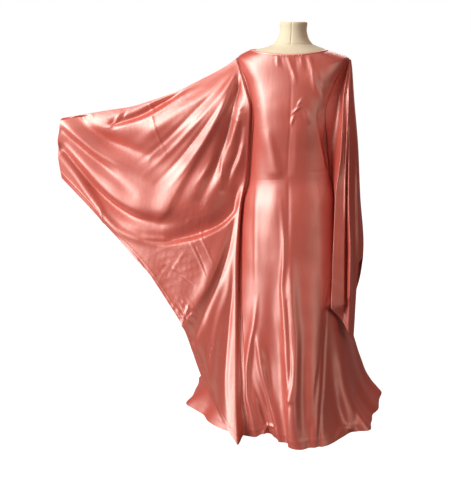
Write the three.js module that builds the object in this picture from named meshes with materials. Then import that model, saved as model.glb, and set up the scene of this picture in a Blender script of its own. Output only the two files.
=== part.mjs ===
// A floor-length satin kaftan worn on a limbless dress form.
// Millimetres, +Z up, the front faces -Y, the ground is z = 0 and the form's axis is x = y = 0.
// The viewer's left sleeve is held out; the other hangs in long folds.
import * as THREE from 'three';

// Cloth and seams
const WALL = 1.6;
const SEAM = 0.4;
const LAP = 0.9;
const LAP_TURN = 1.6;
const ROW_TURN = 6;
const ROW_CLEAR = 8;
const SHEET_STEP = 0.004;
const HANG_STEP = 0.01;

// Body of the garment: a row per height, measured to the middle of the cloth
// h is the height at the side; dips say how much lower the front and back of the same ring lie
const BODY_ROWS = [
  { h: 0, side: 375, front: 345, back: 300, frontDip: 0, backDip: 0, shift: 0 },
  { h: 50, side: 330, front: 334, back: 290, frontDip: 0, backDip: 0, shift: 0 },
  { h: 110, side: 297, front: 317, back: 276, frontDip: 0, backDip: 0, shift: 0 },
  { h: 277, side: 250, front: 258, back: 232, frontDip: 0, backDip: 0, shift: 0 },
  { h: 451, side: 218, front: 208, back: 192, frontDip: 0, backDip: 0, shift: 0 },
  { h: 634, side: 192, front: 166, back: 158, frontDip: 0, backDip: 0, shift: 0 },
  { h: 820, side: 172, front: 134, back: 130, frontDip: 0, backDip: 0, shift: 0 },
  { h: 922, side: 149, front: 115, back: 102, frontDip: 0, backDip: 0, shift: 0 },
  { h: 1010, side: 145, front: 117, back: 104, frontDip: 0, backDip: 0, shift: 0 },
  { h: 1112, side: 150, front: 126, back: 109, frontDip: 0, backDip: 0, shift: 0 },
  { h: 1165, side: 153, front: 125, back: 111, frontDip: 0, backDip: 0, shift: 0 },
  { h: 1262, side: 168, front: 113, back: 112, frontDip: 24, backDip: 18, shift: 0 },
  { h: 1341, side: 195, front: 100, back: 104, frontDip: 42, backDip: 32, shift: 0 },
  { h: 1356, side: 167, front: 95, back: 92, frontDip: 28, backDip: 18, shift: -7 },
  { h: 1367, side: 134, front: 89, back: 78, frontDip: 13, backDip: 5, shift: -14 },
];
const SECTION_POWER = 2.25;
const WAIST = 922;
const WAIST_TILT = 18;
const TILT_TOP = 1100;
const TILT_LOW = 640;
const UNDERARM = 1112;
const SHOULDER = 1341;
const NECK = 1367;

// Armhole edge: how far round from the front (or back) centre each panel reaches, in degrees
const ARMHOLE_ROWS = [
  { h: 1112, angle: 90 },
  { h: 1126, angle: 70 },
  { h: 1165, angle: 58 },
  { h: 1262, angle: 67 },
  { h: 1310, angle: 78 },
  { h: 1341, angle: 90 },
];

// Skirt folds, a row per fold: turn at the waist and at the hem (degrees, + to the right of the front),
// half width at the hem, depth at the hem (+ stands out) and the height where it fades out
const SKIRT_FOLDS = [
  { waist: -60, hem: -52, width: 6, depth: -14, fade: 110 },
  { waist: -72, hem: -69, width: 7, depth: 28, fade: 110 },
  { waist: -16, hem: -4, width: 6, depth: -14, fade: 860 },
  { waist: 4, hem: 12, width: 5, depth: 40, fade: 860 },
  { waist: 24, hem: 25, width: 8, depth: 46, fade: 760 },
  { waist: 45, hem: 46, width: 6, depth: -12, fade: 640 },
  { waist: 58, hem: 56, width: 5, depth: 24, fade: 200 },
  { waist: 76, hem: 74, width: 6, depth: -14, fade: 200 },
  { waist: 112, hem: 110, width: 9, depth: 26, fade: 700 },
  { waist: 134, hem: 133, width: 8, depth: -24, fade: 760 },
  { waist: 158, hem: 156, width: 9, depth: 30, fade: 840 },
  { waist: 182, hem: 181, width: 8, depth: -22, fade: 800 },
  { waist: 206, hem: 207, width: 9, depth: 32, fade: 820 },
  { waist: 232, hem: 232, width: 9, depth: -24, fade: 700 },
  { waist: 252, hem: 250, width: 8, depth: 24, fade: 640 },
];
const HEM_LIFT = { turn: -6, width: 4, rise: 15, height: 120 };

// Where each sleeve layer is sewn to the body: turn from the front centre at each height, in degrees
const SEAM_ROWS = [
  { h: 0, front: 17, back: 23 },
  { h: 60, front: 20, back: 33 },
  { h: 111, front: 24, back: 43 },
  { h: 200, front: 28, back: 62 },
  { h: 277, front: 33, back: 75 },
  { h: 451, front: 45, back: 92 },
  { h: 634, front: 60, back: 100 },
  { h: 820, front: 75, back: 104 },
  { h: 904, front: 77, back: 104 },
  { h: 1049, front: 66, back: 112 },
  { h: 1165, front: 55, back: 125 },
  { h: 1262, front: 64, back: 116 },
  { h: 1310, front: 75, back: 105 },
  { h: 1341, front: 87, back: 93 },
];

// Raised sleeve: top edge, lower edge and the fold that stands out beside the seam
const TOP_EDGE = [
  { x: -205, y: -1, z: 1335 },
  { x: -243, y: -3, z: 1308 },
  { x: -338, y: -10, z: 1258 },
  { x: -431, y: -17, z: 1214 },
  { x: -525, y: -24, z: 1181 },
  { x: -602, y: -30, z: 1158 },
  { x: -679, y: -36, z: 1146 },
  { x: -795, y: -45, z: 1126 },
  { x: -867, y: -50, z: 1113 },
];
const LOWER_EDGE = [
  { x: -128, y: -404, z: 2 },
  { x: -195, y: -350, z: 65 },
  { x: -247, y: -310, z: 161 },
  { x: -291, y: -280, z: 257 },
  { x: -354, y: -245, z: 365 },
  { x: -439, y: -205, z: 472 },
  { x: -502, y: -180, z: 550 },
  { x: -587, y: -150, z: 627 },
  { x: -673, y: -120, z: 705 },
  { x: -810, y: -80, z: 824 },
  { x: -880, y: -60, z: 884 },
];
const CUFF_EDGE = [
  { x: -867, y: -50, z: 1113 },
  { x: -878, y: -54, z: 1040 },
  { x: -882, y: -58, z: 960 },
  { x: -880, y: -60, z: 884 },
];
const FRONT_FOLD_EDGE = [
  { x: -205, y: -1, z: 1335 },
  { x: -168, y: -58, z: 1250 },
  { x: -142, y: -82, z: 1165 },
  { x: -150, y: -60, z: 1049 },
  { x: -163, y: -38, z: 904 },
  { x: -180, y: -58, z: 800 },
  { x: -185, y: -112, z: 642 },
  { x: -176, y: -170, z: 465 },
  { x: -164, y: -238, z: 289 },
  { x: -146, y: -332, z: 110 },
  { x: -128, y: -404, z: 2 },
];
const BACK_FOLD_EDGE = [
  { x: -205, y: 1, z: 1335 },
  { x: -190, y: 66, z: 1250 },
  { x: -166, y: 84, z: 1165 },
  { x: -170, y: 70, z: 1049 },
  { x: -184, y: 50, z: 904 },
  { x: -206, y: 50, z: 780 },
  { x: -232, y: 30, z: 600 },
  { x: -272, y: -50, z: 420 },
  { x: -296, y: -165, z: 260 },
  { x: -270, y: -240, z: 180 },
  { x: -226, y: -304, z: 110 },
  { x: -134, y: -396, z: 10 },
];
// Folds of the raised sleeve, a row per fold, between two points seen from the front;
// sag lowers the middle, depth is + towards the viewer
const SLEEVE_FOLDS = [
  { x0: -215, z0: 1310, x1: -400, z1: 790, sag: -20, width: 34, depth: -15 },
  { x0: -700, z0: 1105, x1: -235, z1: 1290, sag: 20, width: 16, depth: -7 },
  { x0: -850, z0: 1085, x1: -500, z1: 890, sag: 20, width: 20, depth: 8 },
  { x0: -862, z0: 1020, x1: -190, z1: 900, sag: 190, width: 26, depth: -16 },
  { x0: -865, z0: 975, x1: -250, z1: 800, sag: 130, width: 24, depth: 12 },
  { x0: -540, z0: 680, x1: -185, z1: 830, sag: 70, width: 22, depth: -12 },
  { x0: -300, z0: 690, x1: -300, z1: 330, sag: 0, width: 26, depth: 10 },
  { x0: -225, z0: 760, x1: -205, z1: 240, sag: 0, width: 17, depth: -14 },
];
// Share of a fold's length over which its ends run out, and how much of it is left there
const FOLD_ENDS = { share: 0.2, keep: 0.4 };

// Raised sleeve's hollow: how far each layer stands out at the root and at the cuff, over which shares
// of its width (u, from the body) and height (v, from the top edge) it fills out, and the room at the tip
const SLEEVE_BELLY = 30;
const CUFF_BELLY = 17;
const BELLY_ARCH = 0.8;
const ROOT_SHARE = 0.2;
const TOP_SHARE = 0.11;
const LOW_SHARE = 0.125;
const CUFF_SHARE = 0.17;
const CUFF_FOLD_KEEP = 0.35;
const TIP = { from: 0.8, over: 0.2, reach: 0.25, least: 0.2, room: 1.2 };

// Hanging sleeve, a row per long fold: place seen from above at each height
const HANG_LEVELS = [1334, 1305, 1200, 1030, 850, 645, 459, 320];
const HANG_FRONT = [
  {
    name: 'front edge',
    x: [201, 198, 188, 189, 176, 176, 178, 178],
    y: [-9, -27, -72, -102, -118, -138, -167, -190],
  },
  {
    name: 'first valley',
    x: [202, 202, 198, 201, 206, 219, 221, 220],
    y: [-8, -23, -58, -82, -90, -103, -124, -145],
  },
  {
    name: 'middle fold',
    x: [203, 206, 208, 215, 222, 239, 242, 243],
    y: [-7, -22, -63, -96, -112, -127, -139, -150],
  },
  {
    name: 'second valley',
    x: [204, 208, 213, 227, 238, 250, 257, 262],
    y: [-5, -15, -46, -57, -66, -80, -95, -111],
  },
  {
    name: 'outer fold',
    x: [205, 210, 220, 240, 254, 268, 272, 274],
    y: [-3, -10, -30, -44, -50, -54, -62, -70],
  },
  {
    name: 'outer edge',
    x: [206, 211, 223, 245, 261, 283, 284, 284],
    y: [-1, -1, -1, -1, -1, -8, -14, -20],
  },
];
const HANG_BACK = [
  {
    name: 'outer edge',
    x: [206, 211, 223, 245, 261, 283, 284, 284],
    y: [1, 1, 1, 1, 1, -6, -12, -18],
  },
  {
    name: 'back outer fold',
    x: [205, 210, 220, 239, 256, 274, 278, 282],
    y: [3, 12, 38, 50, 58, 62, 66, 70],
  },
  {
    name: 'back valley',
    x: [204, 207, 211, 220, 232, 248, 258, 266],
    y: [5, 18, 56, 62, 68, 72, 84, 92],
  },
  {
    name: 'back inner fold',
    x: [203, 203, 200, 200, 204, 226, 246, 262],
    y: [7, 24, 78, 92, 98, 112, 128, 140],
  },
  {
    name: 'back edge',
    x: [202, 200, 190, 186, 186, 208, 232, 252],
    y: [9, 28, 82, 88, 84, 92, 104, 118],
  },
];
const HANG_FRONT_END = [459, 397, 362, 318, 604, 612];
const HANG_BACK_END = [612, 520, 430, 392, 400];
const HANG_FRONT_SEAM_END = 470;
const HANG_BACK_SEAM_END = 410;

// Neck binding
const BINDING_WIDTH = 5;
const BINDING_WALL = 1.2;
const BINDING_GAP = 0.55;

// Dress form
const FORM_BOTTOM = 730;
const FORM_INSET = 7;
const SHOULDER_INSET = 1.7;
const INSET_FROM = 1300;
const TURNS = 18;
const HIP_ROWS = [
  { z: 730, side: 150, front: 104, back: 104, y: 0 },
  { z: 742, side: 156, front: 110, back: 110, y: 0 },
  { z: 820, side: 158, front: 116, back: 114, y: 0 },
  { z: 900, side: 143, front: 108, back: 96, y: 0 },
];
const NECK_ROWS = [
  { z: 1372, side: 108, front: 66, back: 62, y: 2 },
  { z: 1380, side: 84, front: 60, back: 58, y: 2 },
  { z: 1392, side: 64, front: 56, back: 55, y: 2 },
  { z: 1412, side: 52, front: 50, back: 51, y: 2 },
  { z: 1436, side: 47, front: 47, back: 48, y: 2 },
  { z: 1457, side: 48.5, front: 48, back: 49, y: 2 },
  { z: 1461, side: 46.5, front: 46, back: 47, y: 2 },
];
const POLE_RADIUS = 16;
const BASE_RADIUS = 150;
const BASE_RIM = 5;
const BASE_HEIGHT = 14;
const JOINT = 0.3;

const RAD = Math.PI / 180;
const clamp = (x, lo, hi) => Math.min(hi, Math.max(lo, x));
const lerp = (a, b, t) => a + (b - a) * t;
const smooth = (t) => {
  const c = clamp(t, 0, 1);
  return c * c * (3 - 2 * c);
};

// A smooth curve through rows of keys and values
function curve(keys, values, at) {
  const last = keys.length - 1;
  let i = 0;
  while (i < last - 1 && at > keys[i + 1]) {
    i += 1;
  }
  const slope = (k) => {
    if (k === 0) {
      return (values[1] - values[0]) / (keys[1] - keys[0]);
    }
    if (k === last) {
      return (values[last] - values[last - 1]) / (keys[last] - keys[last - 1]);
    }
    const before = (values[k] - values[k - 1]) / (keys[k] - keys[k - 1]);
    const after = (values[k + 1] - values[k]) / (keys[k + 1] - keys[k]);
    return before * after <= 0 ? 0 : (2 * before * after) / (before + after);
  };
  const span = keys[i + 1] - keys[i];
  const t = clamp((at - keys[i]) / span, 0, 1);
  const t2 = t * t;
  const t3 = t2 * t;
  return (2 * t3 - 3 * t2 + 1) * values[i] + (t3 - 2 * t2 + t) * span * slope(i)
    + (3 * t2 - 2 * t3) * values[i + 1] + (t3 - t2) * span * slope(i + 1);
}
const column = (rows, key) => rows.map((row) => row[key]);
const read = (rows, by, key, at) => curve(column(rows, by), column(rows, key), at);

// A point on a table of points, by share of its length
function along(rows) {
  const share = [0];
  for (let i = 1; i < rows.length; i += 1) {
    const a = rows[i - 1];
    const b = rows[i];
    share.push(share[i - 1] + Math.hypot(b.x - a.x, b.y - a.y, b.z - a.z));
  }
  const total = share[share.length - 1];
  const keys = share.map((s) => s / total);
  return (t) => new THREE.Vector3(
    curve(keys, column(rows, 'x'), t),
    curve(keys, column(rows, 'y'), t),
    curve(keys, column(rows, 'z'), t),
  );
}

function foldHeight(turn, h) {
  let sum = 0;
  for (const fold of SKIRT_FOLDS) {
    const down = smooth((fold.fade - h) / fold.fade);
    const centre = lerp(fold.waist, fold.hem, clamp(1 - h / WAIST, 0, 1));
    let off = turn - centre;
    off -= 360 * Math.round(off / 360);
    const wide = fold.width * lerp(1.5, 1, down);
    sum += fold.depth * down * Math.exp(-((off / wide) ** 2));
  }
  return sum;
}

// Middle of the body cloth at a turn (degrees from the front centre) and a side height
function body(turn, h) {
  const sin = Math.sin(turn * RAD);
  const cos = Math.cos(turn * RAD);
  const side = read(BODY_ROWS, 'h', 'side', h);
  const depthKey = cos > 0 ? 'front' : 'back';
  const dipKey = cos > 0 ? 'frontDip' : 'backDip';
  const depth = read(BODY_ROWS, 'h', depthKey, h);
  const n = SECTION_POWER;
  const square = (Math.abs(sin) ** n + Math.abs(cos) ** n) ** (-1 / n);
  const folded = h < WAIST ? foldHeight(turn, h) : 0;
  const grow = square * (1 + folded / Math.hypot(side * sin, depth * cos));
  let tilt = 0;
  if (h > WAIST) {
    tilt = WAIST_TILT * sin * smooth((TILT_TOP - h) / (TILT_TOP - WAIST));
  } else {
    tilt = WAIST_TILT * sin * smooth((h - TILT_LOW) / (WAIST - TILT_LOW));
  }
  const lift = HEM_LIFT.rise * Math.exp(-(((turn - HEM_LIFT.turn) / HEM_LIFT.width) ** 2))
    * smooth(1 - h / HEM_LIFT.height);
  return new THREE.Vector3(
    read(BODY_ROWS, 'h', 'shift', h) + side * grow * sin,
    -depth * grow * cos,
    h - read(BODY_ROWS, 'h', dipKey, h) * cos * cos + tilt + lift,
  );
}

// Outward direction of a surface given by two numbers; level keeps it horizontal
function outward(surface, a, b, da, db, level = 0) {
  const along1 = surface(a + da, b).sub(surface(a - da, b));
  const along2 = surface(a, b + db).sub(surface(a, b - db));
  const n = along1.cross(along2);
  n.z *= 1 - level;
  return n.normalize();
}
const BODY_STEP = { turn: 0.5, h: 2 };
function bodyOut(turn, h) {
  const level = h <= WAIST ? 1 : 1 - smooth((h - WAIST) / (UNDERARM - WAIST));
  const hIn = clamp(h, BODY_STEP.h, NECK - BODY_STEP.h);
  return outward((a, b) => body(a, b), turn, hIn, BODY_STEP.turn, BODY_STEP.h, level);
}

// A closed wall from rows of middle points and outward directions
function wallMesh(name, rows, look) {
  const count = rows[0].length;
  const positions = [];
  const indices = [];
  for (const side of [0.5, -0.5]) {
    for (const row of rows) {
      for (const { p, n } of row) {
        const q = p.clone().addScaledVector(n, WALL * side);
        positions.push(q.x, q.y, q.z);
      }
    }
  }
  const inner = rows.length * count;
  const at = (r, c) => r * count + c;
  const quad = (a, b, c, d) => indices.push(a, b, c, a, c, d);
  for (let r = 0; r < rows.length - 1; r += 1) {
    for (let c = 0; c < count - 1; c += 1) {
      quad(at(r, c), at(r, c + 1), at(r + 1, c + 1), at(r + 1, c));
      quad(inner + at(r, c), inner + at(r + 1, c), inner + at(r + 1, c + 1), inner + at(r, c + 1));
    }
  }
  const rim = [];
  for (let c = 0; c < count - 1; c += 1) {
    rim.push(at(0, c));
  }
  for (let r = 0; r < rows.length - 1; r += 1) {
    rim.push(at(r, count - 1));
  }
  for (let c = count - 1; c > 0; c -= 1) {
    rim.push(at(rows.length - 1, c));
  }
  for (let r = rows.length - 1; r > 0; r -= 1) {
    rim.push(at(r, 0));
  }
  rim.forEach((a, i) => {
    const b = rim[(i + 1) % rim.length];
    quad(b, a, inner + a, inner + b);
  });
  return solid(name, positions, indices, look);
}

// A mesh from numbered points, turned so that it faces out
function solid(name, positions, indices, look) {
  let volume = 0;
  const v = (i) => new THREE.Vector3().fromArray(positions, 3 * i);
  for (let i = 0; i < indices.length; i += 3) {
    volume += v(indices[i]).dot(v(indices[i + 1]).cross(v(indices[i + 2])));
  }
  const faces = indices.slice();
  if (volume < 0) {
    for (let i = 0; i < faces.length; i += 3) {
      [faces[i + 1], faces[i + 2]] = [faces[i + 2], faces[i + 1]];
    }
  }
  const geometry = new THREE.BufferGeometry();
  geometry.setAttribute('position', new THREE.Float32BufferAttribute(positions, 3));
  geometry.setIndex(faces);
  geometry.computeVertexNormals();
  const mesh = new THREE.Mesh(geometry, new THREE.MeshStandardMaterial(look));
  mesh.name = name;
  return mesh;
}

const steps = (n) => Array.from({ length: n + 1 }, (_, i) => i / n);

// Middle points and outward directions of a body panel; half is +1 for the front and -1 for the back
const armholeReach = (h) => (h <= UNDERARM || h >= SHOULDER ? 90 : read(ARMHOLE_ROWS, 'h', 'angle', h));
const fullReach = () => 90;
function panelRows({ half, levels, turns, reach }) {
  return levels.map((h) => steps(turns).map((t) => {
    const turn = (half > 0 ? 0 : 180) + half * (2 * t - 1) * reach(h);
    const p = body(turn, h);
    const n = bodyOut(turn, h);
    const atSide = Math.abs(2 * t - 1) > 1 - 1e-9 && reach(h) > 90 - 1e-6;
    if (atSide) {
      p.y = -half * SEAM / 2;
      n.y = 0;
      n.normalize();
    }
    return { p, n };
  }));
}

// A point on the flat facets of a body panel, with the outward direction there
function onPanel(panel, turn, h) {
  const { half, levels, turns, reach } = panel;
  let r = 0;
  while (r < levels.length - 2 && h > levels[r + 1]) {
    r += 1;
  }
  const down = clamp((h - levels[r]) / (levels[r + 1] - levels[r]), 0, 1);
  const wide = lerp(reach(levels[r]), reach(levels[r + 1]), down);
  const from = half > 0 ? turn : turn - 180 * Math.sign(turn);
  const across = clamp((half * from / wide + 1) / 2, 0, 1) * turns;
  const c = Math.min(Math.floor(across), turns - 1);
  const t = across - c;
  const mix = (key) => {
    const low = panel.rows[r][c][key].clone().lerp(panel.rows[r][c + 1][key], t);
    const high = panel.rows[r + 1][c][key].clone().lerp(panel.rows[r + 1][c + 1][key], t);
    return low.lerp(high, down);
  };
  return { p: mix('p'), n: mix('n').normalize() };
}
function makePanel(shape) {
  return { ...shape, rows: panelRows(shape) };
}

const BODICE_LEVELS = [
  WAIST, 1010, 1062, UNDERARM, 1128, 1165, 1213, 1262, 1290, 1312, 1330, SHOULDER, 1356, NECK,
];
const SKIRT_LEVELS = [0, 30, 70, 120, 190, 277, 380, 500, 634, 780, WAIST - SEAM];
const PANELS = {
  bodiceFront: makePanel({ half: 1, levels: BODICE_LEVELS, turns: TURNS, reach: armholeReach }),
  bodiceBack: makePanel({ half: -1, levels: BODICE_LEVELS, turns: TURNS, reach: armholeReach }),
  skirtFront: makePanel({ half: 1, levels: SKIRT_LEVELS, turns: 36, reach: fullReach }),
  skirtBack: makePanel({ half: -1, levels: SKIRT_LEVELS, turns: 26, reach: fullReach }),
};

// The seam line of a sleeve layer, made from the points of the panel it is sewn to, moved out
function seamPoints(side, key, h) {
  const turn = read(SEAM_ROWS, 'h', key, h);
  const lap = key === 'front' ? -LAP_TURN : LAP_TURN;
  const out = WALL + LAP;
  return [turn + lap, turn].map((angle) => {
    const waistPart = h >= WAIST ? 'bodice' : 'skirt';
    const panel = PANELS[waistPart + (angle > 90 ? 'Back' : 'Front')];
    const { p, n } = onPanel(panel, side * angle, h);
    return { p: p.addScaledVector(n, out), n };
  });
}

// Depth added by the folds of the raised sleeve at a point seen from the front
function sleeveFold(x, z) {
  let sum = 0;
  for (const fold of SLEEVE_FOLDS) {
    const dx = fold.x1 - fold.x0;
    const dz = fold.z1 - fold.z0;
    const length = Math.hypot(dx, dz);
    const t = ((x - fold.x0) * dx + (z - fold.z0) * dz) / (length * length);
    const c = clamp(t, 0, 1);
    const cx = fold.x0 + dx * c;
    const cz = fold.z0 + dz * c - fold.sag * 4 * c * (1 - c);
    const away = Math.hypot(x - cx, z - cz);
    const ends = smooth(t / FOLD_ENDS.share + FOLD_ENDS.keep)
      * smooth((1 - t) / FOLD_ENDS.share + FOLD_ENDS.keep);
    sum += fold.depth * ends * Math.exp(-((away / fold.width) ** 2));
  }
  return sum;
}

const topEdge = along(TOP_EDGE);
const lowerEdge = along(LOWER_EDGE);
const cuffEdge = along(CUFF_EDGE);
const rootEdges = { front: along(FRONT_FOLD_EDGE), back: along(BACK_FOLD_EDGE) };

// Middle of one layer of the raised sleeve: u runs from the body to the cuff, v from the top edge down
function sleeveSheet(layer, u, v) {
  const root = rootEdges[layer];
  const face = layer === 'front' ? -1 : 1;
  const p = topEdge(u).multiplyScalar(1 - v).addScaledVector(lowerEdge(u), v)
    .addScaledVector(root(v), 1 - u).addScaledVector(cuffEdge(v), u)
    .addScaledVector(topEdge(0), -(1 - u) * (1 - v)).addScaledVector(topEdge(1), -u * (1 - v))
    .addScaledVector(lowerEdge(0), -(1 - u) * v).addScaledVector(lowerEdge(1), -u * v);
  const inner = smooth(u / ROOT_SHARE);
  const belly = Math.sin(Math.PI * v) ** BELLY_ARCH * inner * lerp(SLEEVE_BELLY, CUFF_BELLY, smooth(u));
  const calm = inner * smooth(v / TOP_SHARE) * smooth((1 - v) / LOW_SHARE)
    * smooth((1 - u) / CUFF_SHARE + CUFF_FOLD_KEEP);
  const tip = smooth((v - TIP.from) / TIP.over) * smooth(1 - u / TIP.reach);
  const apart = belly + (WALL + SEAM) / 2 + lerp(TIP.least, TIP.room, tip);
  p.y += face * apart - sleeveFold(p.x, p.z) * calm;
  return p;
}

// Heights of the panel rows from the shoulder down to the end of a seam,
// with more of them where the seam turns quickly round the body
function seamLevels(key, lowest) {
  const inside = [...SKIRT_LEVELS, ...BODICE_LEVELS].filter((h) => h > lowest + ROW_CLEAR && h < SHOULDER);
  const levels = [SHOULDER, ...inside.sort((a, b) => b - a), lowest];
  const finer = [SHOULDER];
  for (let i = 1; i < levels.length; i += 1) {
    const turn = (h) => read(SEAM_ROWS, 'h', key, h);
    const parts = Math.ceil(Math.abs(turn(levels[i]) - turn(levels[i - 1])) / ROW_TURN);
    for (let k = 1; k <= Math.max(parts, 1); k += 1) {
      finer.push(lerp(levels[i - 1], levels[i], k / Math.max(parts, 1)));
    }
  }
  return finer;
}

function sheetNormal(sheet, u, v, face) {
  const e = SHEET_STEP;
  const a = sheet(clamp(u + e, 0, 1), v).sub(sheet(clamp(u - e, 0, 1), v));
  const b = sheet(u, clamp(v + e, 0, 1)).sub(sheet(u, clamp(v - e, 0, 1)));
  const n = a.cross(b).normalize();
  return n.y * face < 0 ? n.negate() : n;
}

function raisedLayer(name, look, { layer, lowest, out }) {
  const face = layer === 'front' ? -1 : 1;
  const sheet = (u, v) => sleeveSheet(layer, u, v);
  const rows = seamLevels(layer, lowest).map((h) => {
    const v = (SHOULDER - h) / (SHOULDER - lowest);
    const seam = seamPoints(-1, layer, h);
    const run = out.map((u) => ({ p: sheet(u, v), n: sheetNormal(sheet, u, v, face) }));
    return [...seam, ...run];
  });
  return wallMesh(name, rows, look);
}

// Middle of one layer of the hanging sleeve: u over its long folds, v from the shoulder down
const HANG_TOP = HANG_LEVELS[0];
function hangSheet(folds, ends, u, v) {
  const keys = folds.map((_, i) => i / (folds.length - 1));
  const end = curve(keys, ends, u);
  const z = lerp(HANG_TOP, end, v);
  const levels = HANG_LEVELS.map((level) => -level);
  const xs = folds.map((fold) => curve(levels, fold.x, -z));
  const ys = folds.map((fold) => curve(levels, fold.y, -z));
  return new THREE.Vector3(curve(keys, xs, u), curve(keys, ys, u), z);
}

function hangingLayer(name, look, { layer, across }) {
  const front = layer === 'front';
  const folds = front ? HANG_FRONT : HANG_BACK;
  const ends = front ? HANG_FRONT_END : HANG_BACK_END;
  const seamEnd = front ? HANG_FRONT_SEAM_END : HANG_BACK_SEAM_END;
  const face = front ? -1 : 1;
  const sheet = (u, v) => hangSheet(folds, ends, u, v);
  const rows = seamLevels(layer, seamEnd).map((h) => {
    const v = (SHOULDER - h) / (SHOULDER - seamEnd);
    const seam = seamPoints(1, layer, h);
    const run = across.map((u) => {
      const e = HANG_STEP;
      const a = sheet(clamp(u + e, 0, 1), v).sub(sheet(clamp(u - e, 0, 1), v));
      a.z = 0;
      const n = new THREE.Vector3(a.y, -a.x, 0).normalize();
      return { p: sheet(u, v), n: front ? n : n.negate() };
    });
    return front ? [...seam, ...run] : [...run, ...seam.reverse()];
  });
  return wallMesh(name, rows, look);
}

const SATIN = { color: 0xd9715f, roughness: 0.36, metalness: 0 };
const BINDING = { color: 0xe58a78, roughness: 0.4, metalness: 0 };
const LINEN = { color: 0xd9cdb8, roughness: 0.85, metalness: 0 };
const STEEL = { color: 0xb9bcc0, roughness: 0.35, metalness: 1 };

const kaftan = new THREE.Group();
kaftan.name = 'kaftan_on_dress_form';

// Bodice
kaftan.add(wallMesh('bodice_front', PANELS.bodiceFront.rows, SATIN));
kaftan.add(wallMesh('bodice_back', PANELS.bodiceBack.rows, SATIN));

// Skirt
kaftan.add(wallMesh('skirt_front', PANELS.skirtFront.rows, SATIN));
kaftan.add(wallMesh('skirt_back', PANELS.skirtBack.rows, SATIN));

// Sleeves
kaftan.add(raisedLayer('raised_sleeve_front', SATIN, { layer: 'front', lowest: 4, out: steps(18) }));
kaftan.add(raisedLayer('raised_sleeve_back', SATIN, { layer: 'back', lowest: 12, out: steps(10) }));
kaftan.add(hangingLayer('hanging_sleeve_front', SATIN, { layer: 'front', across: steps(15) }));
kaftan.add(hangingLayer('hanging_sleeve_back', SATIN, { layer: 'back', across: steps(8) }));

// Closed body from rings of points, with a flat or domed end at both ends
function ringBody(name, rings, look) {
  const count = rings[0].length;
  const positions = rings.flat().flatMap((p) => [p.x, p.y, p.z]);
  const indices = [];
  for (let r = 0; r < rings.length - 1; r += 1) {
    for (let c = 0; c < count; c += 1) {
      const next = (c + 1) % count;
      const a = r * count;
      const b = (r + 1) * count;
      indices.push(a + c, a + next, b + next, a + c, b + next, b + c);
    }
  }
  for (const end of [0, rings.length - 1]) {
    const middle = rings[end].reduce((sum, p) => sum.add(p), new THREE.Vector3()).divideScalar(count);
    const hub = positions.length / 3;
    positions.push(middle.x, middle.y, middle.z);
    for (let c = 0; c < count; c += 1) {
      const a = end * count + c;
      const b = end * count + (c + 1) % count;
      indices.push(...(end === 0 ? [hub, b, a] : [hub, a, b]));
    }
  }
  return solid(name, positions, indices, look);
}

// Neck binding: turned over the edge of the bodice and lying on its outside
const RING_TURNS = 2 * TURNS;
const ringTurn = (i) => (360 * i) / RING_TURNS;
function neckBinding() {
  const inside = WALL / 2 + BINDING_GAP;
  const outside = inside + BINDING_WALL;
  const over = BINDING_GAP + BINDING_WALL;
  const profile = [
    [inside, -BINDING_WIDTH], [outside, -BINDING_WIDTH], [outside, over],
    [-WALL / 2, over], [-WALL / 2, BINDING_GAP], [inside, BINDING_GAP],
  ];
  const count = profile.length;
  const positions = [];
  const indices = [];
  for (let i = 0; i < RING_TURNS; i += 1) {
    const turn = ringTurn(i);
    const edge = body(turn, NECK);
    const n = bodyOut(turn, NECK);
    const up = edge.clone().sub(body(turn, NECK - BODY_STEP.h)).normalize();
    for (const [out, rise] of profile) {
      const p = edge.clone().addScaledVector(n, out).addScaledVector(up, rise);
      positions.push(p.x, p.y, p.z);
    }
    const a = i * count;
    const b = ((i + 1) % RING_TURNS) * count;
    for (let k = 0; k < count; k += 1) {
      const next = (k + 1) % count;
      indices.push(a + k, b + k, b + next, a + k, b + next, a + next);
    }
  }
  return solid('neck_binding', positions, indices, BINDING);
}
kaftan.add(neckBinding());

// Dress form: hips, torso and shoulders under the cloth, then the neck
function formTorso() {
  const turns = Array.from({ length: RING_TURNS }, (_, i) => ringTurn(i));
  const oval = ({ z, side, front, back, y }) => turns.map((turn) => {
    const sin = Math.sin(turn * RAD);
    const cos = Math.cos(turn * RAD);
    return new THREE.Vector3(side * sin, y - (cos > 0 ? front : back) * cos, z);
  });
  const torso = BODICE_LEVELS.filter((h) => h > WAIST).map((h) => {
    const inset = lerp(FORM_INSET, SHOULDER_INSET, smooth((h - INSET_FROM) / (SHOULDER - INSET_FROM)));
    return turns.map((turn) => body(turn, h).addScaledVector(bodyOut(turn, h), -inset));
  });
  return ringBody('form_torso', [...HIP_ROWS.map(oval), ...torso, ...NECK_ROWS.map(oval)], LINEN);
}
kaftan.add(formTorso());

// Stand
function turned(name, outline, look, segments) {
  const profile = outline.map(([r, z]) => new THREE.Vector2(r, z));
  const geometry = new THREE.LatheGeometry(profile, segments);
  geometry.rotateX(Math.PI / 2);
  const mesh = new THREE.Mesh(geometry, new THREE.MeshStandardMaterial(look));
  mesh.name = name;
  return mesh;
}
kaftan.add(turned('form_pole', [
  [0, BASE_HEIGHT + JOINT], [POLE_RADIUS, BASE_HEIGHT + JOINT],
  [POLE_RADIUS, FORM_BOTTOM - JOINT], [0, FORM_BOTTOM - JOINT],
], STEEL, 16));
kaftan.add(turned('form_base', [
  [0, 0], [BASE_RADIUS, 0], [BASE_RADIUS, BASE_HEIGHT - BASE_RIM],
  [BASE_RADIUS - BASE_RIM, BASE_HEIGHT], [0, BASE_HEIGHT],
], STEEL, 32));

export default kaftan;
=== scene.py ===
import math

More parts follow.
